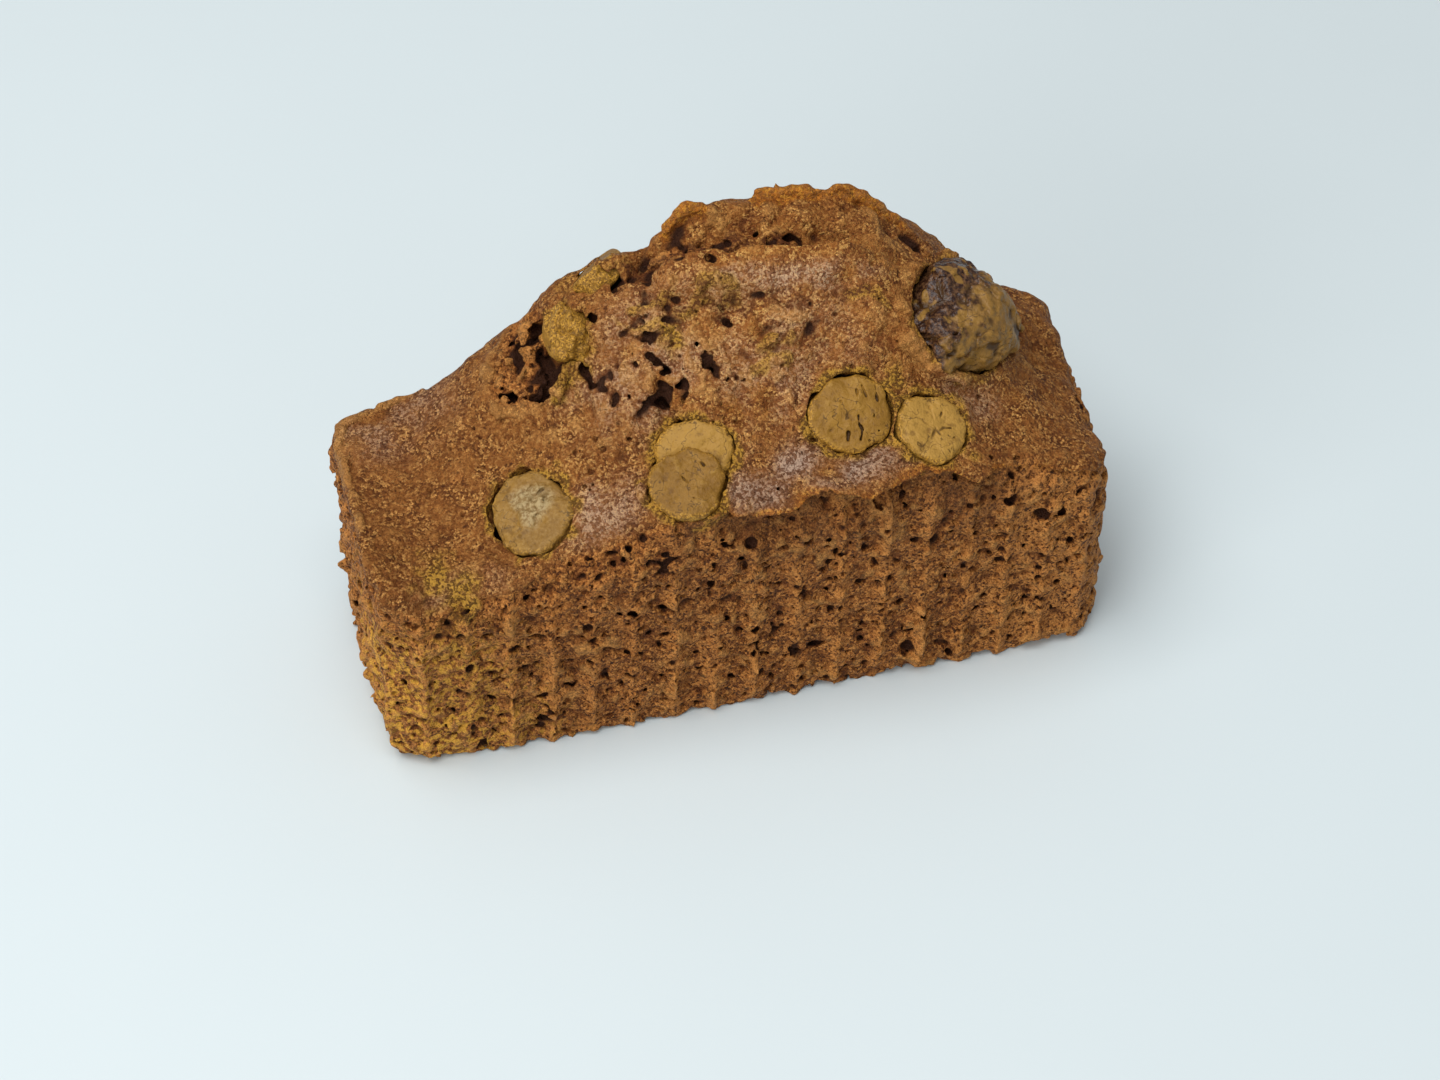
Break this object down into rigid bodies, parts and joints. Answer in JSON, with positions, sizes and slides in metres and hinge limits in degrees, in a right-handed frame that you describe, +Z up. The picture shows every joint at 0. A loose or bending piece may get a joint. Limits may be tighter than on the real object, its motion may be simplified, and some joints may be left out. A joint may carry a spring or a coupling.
{
  "type": "chocolate loaf cake",
  "caption": "Small domed chocolate loaf cake with a crackled crust, pleated crumb sides and chocolate drops set in its top.",
  "frame": {"origin": "middle of the bottom of the bounding box, on the surface that the loaf stands on", "axes": "+X along the loaf, +Y from the front wall with the low crust to the back wall under the dome, +Z up"},
  "size_m": [0.1194, 0.047, 0.0754],
  "materials": {
    "cake_crust": "matte baked chocolate crust over open crumb",
    "milk_chocolate": "satin chocolate, finely cracked by the oven",
    "dark_chocolate": "melted and set again, rough with glossy patches"
  },
  "bodies": {
    "root": {"cake_loaf": "cake_crust", "chocolate_drop_left": "milk_chocolate", "chocolate_drop_front": "milk_chocolate", "chocolate_drop_tucked": "milk_chocolate", "chocolate_drop_middle": "milk_chocolate", "chocolate_drop_right": "milk_chocolate", "chocolate_drop_crusted": "milk_chocolate", "chocolate_drop_shoulder": "milk_chocolate", "chocolate_lump": "dark_chocolate"}
  },
  "joints": []
}
